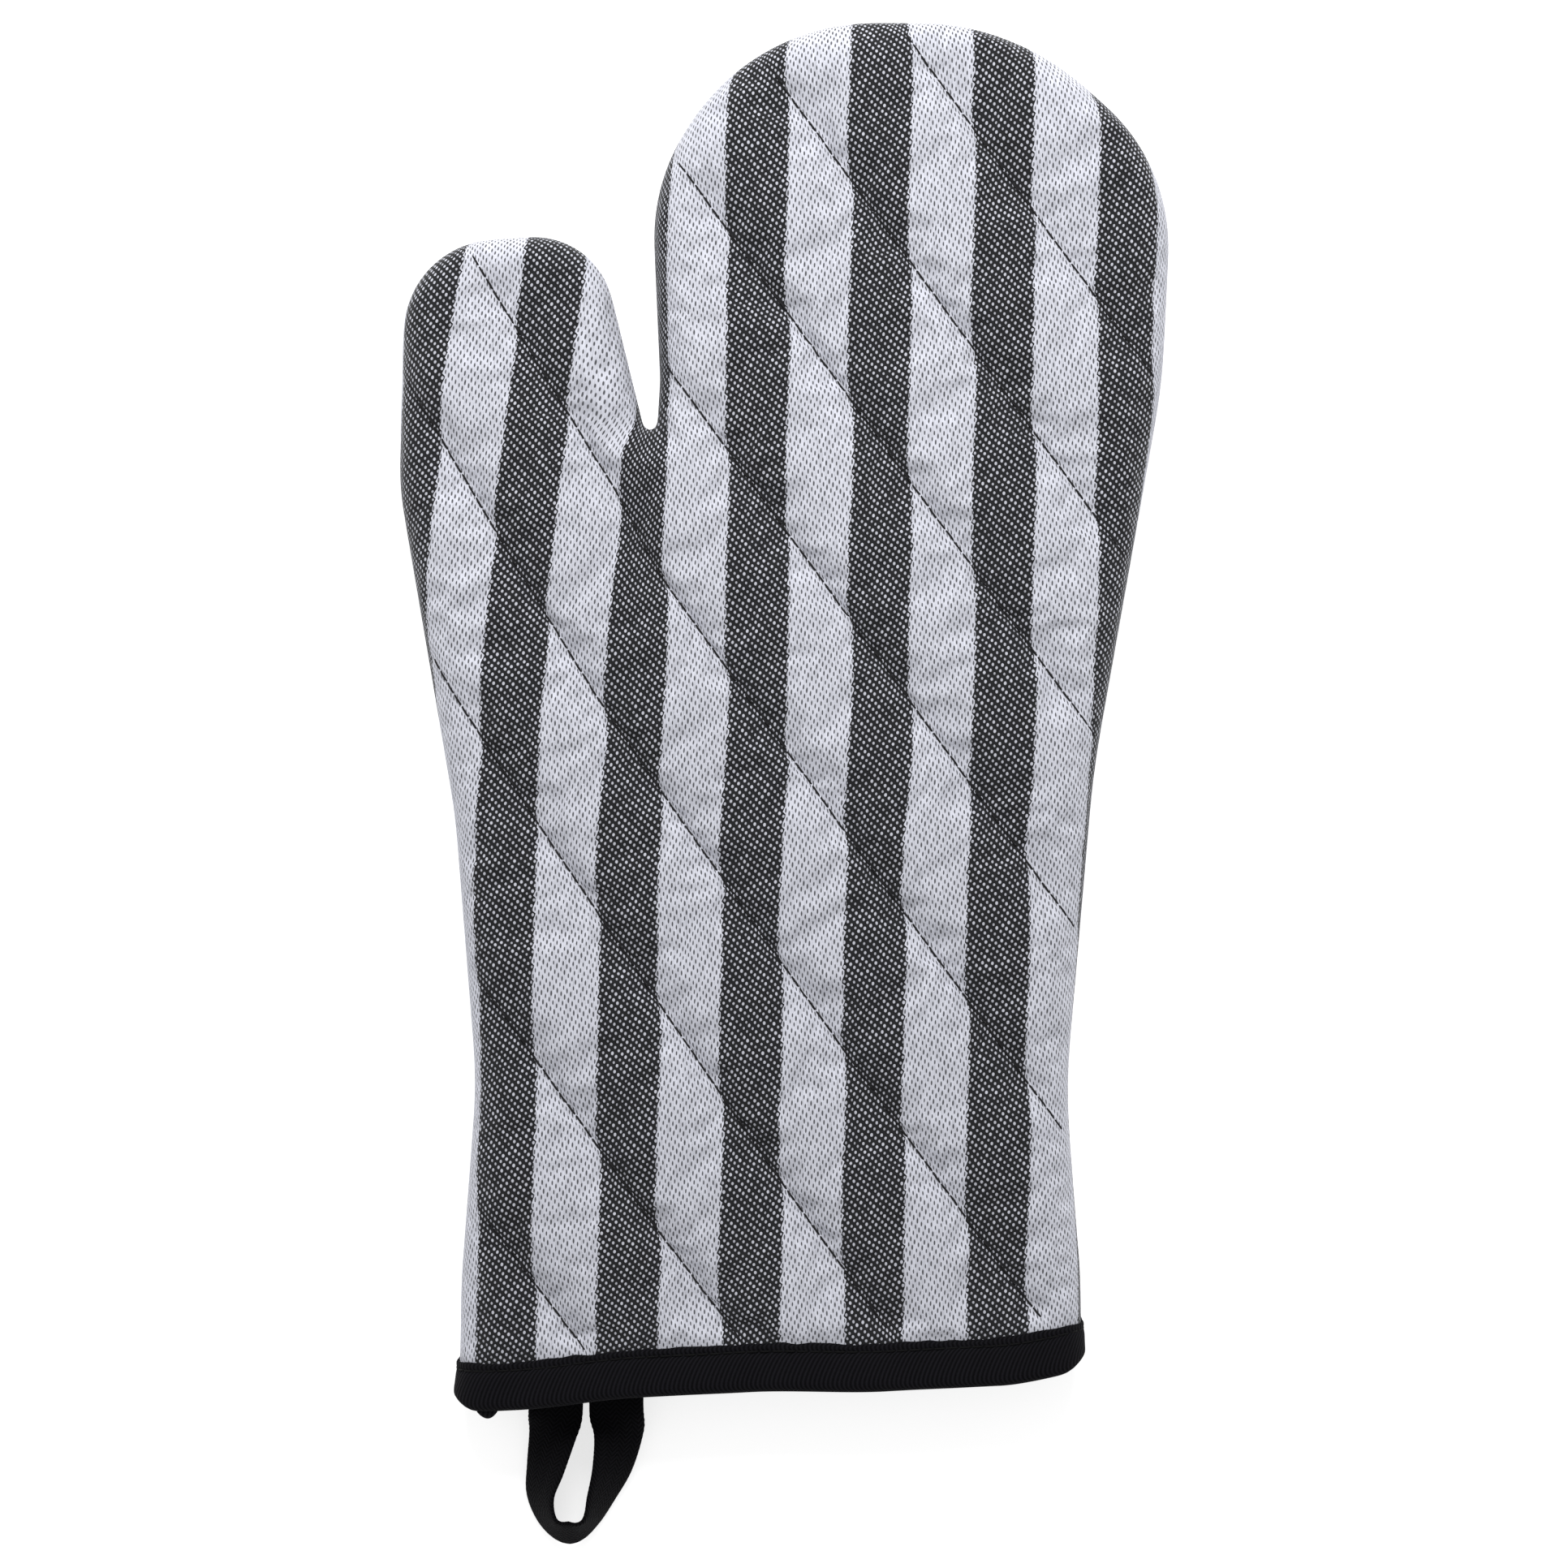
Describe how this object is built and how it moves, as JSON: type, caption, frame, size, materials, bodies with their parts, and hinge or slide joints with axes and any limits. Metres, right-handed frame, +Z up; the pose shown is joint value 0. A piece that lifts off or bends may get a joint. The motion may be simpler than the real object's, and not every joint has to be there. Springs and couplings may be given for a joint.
{
  "type": "oven mitt",
  "caption": "Quilted oven mitt with a striped woven shell, separate thumb, padded and lined hand cavity, bound cuff and a webbing hanging loop.",
  "frame": {"origin": "under the middle of the mitt, loop included, on the surface that the back panel lies on", "axes": "+X across the hand, away from the thumb; +Y from the cuff to the fingertips; +Z up out of the front panel"},
  "size_m": [0.1798, 0.3564, 0.022],
  "materials": {
    "quilted_shell": "heavy woven cotton, striped",
    "wadding": "needled cotton felt",
    "lining": "plain woven cotton",
    "binding_tape": "matte twill tape",
    "loop_webbing": "matte herringbone webbing",
    "thread": "spun sewing thread"
  },
  "bodies": {
    "mitt": {"back_lining": "lining", "back_quilt_bobbin_1": "thread", "back_quilt_bobbin_2": "thread", "back_quilt_bobbin_3": "thread", "back_quilt_bobbin_4": "thread", "back_quilt_bobbin_5": "thread", "back_quilt_bobbin_6": "thread", "back_quilt_bobbin_7": "thread", "back_quilt_bobbin_8": "thread", "back_quilt_bobbin_9": "thread", "back_quilt_thread_1": "thread", "back_quilt_thread_2": "thread", "back_quilt_thread_3": "thread", "back_quilt_thread_4": "thread", "back_quilt_thread_5": "thread", "back_quilt_thread_6": "thread", "back_quilt_thread_7": "thread", "back_quilt_thread_8": "thread", "back_quilt_thread_9": "thread", "back_shell": "quilted_shell", "back_wadding": "wadding", "binding_inner_thread": "thread", "binding_thread": "thread", "cuff_binding": "binding_tape", "front_lining": "lining", "front_quilt_bobbin_1": "thread", "front_quilt_bobbin_2": "thread", "front_quilt_bobbin_3": "thread", "front_quilt_bobbin_4": "thread", "front_quilt_bobbin_5": "thread", "front_quilt_bobbin_6": "thread", "front_quilt_bobbin_7": "thread", "front_quilt_bobbin_8": "thread", "front_quilt_bobbin_9": "thread", "front_quilt_thread_1": "thread", "front_quilt_thread_2": "thread", "front_quilt_thread_3": "thread", "front_quilt_thread_4": "thread", "front_quilt_thread_5": "thread", "front_quilt_thread_6": "thread", "front_quilt_thread_7": "thread", "front_quilt_thread_8": "thread", "front_quilt_thread_9": "thread", "front_shell": "quilted_shell", "front_wadding": "wadding", "hang_loop_ends": "loop_webbing", "loop_tack_thread": "thread", "side_seam_thread": "thread"},
    "loop": {"hang_loop": "loop_webbing"}
  },
  "joints": [
    {"name": "loop_swing", "type": "hinge", "parent": "mitt", "child": "loop", "pos_m": [-0.04655, -0.147, 0.0082], "axis": [1, 0, 0], "range_deg": [-70, 60]}
  ]
}
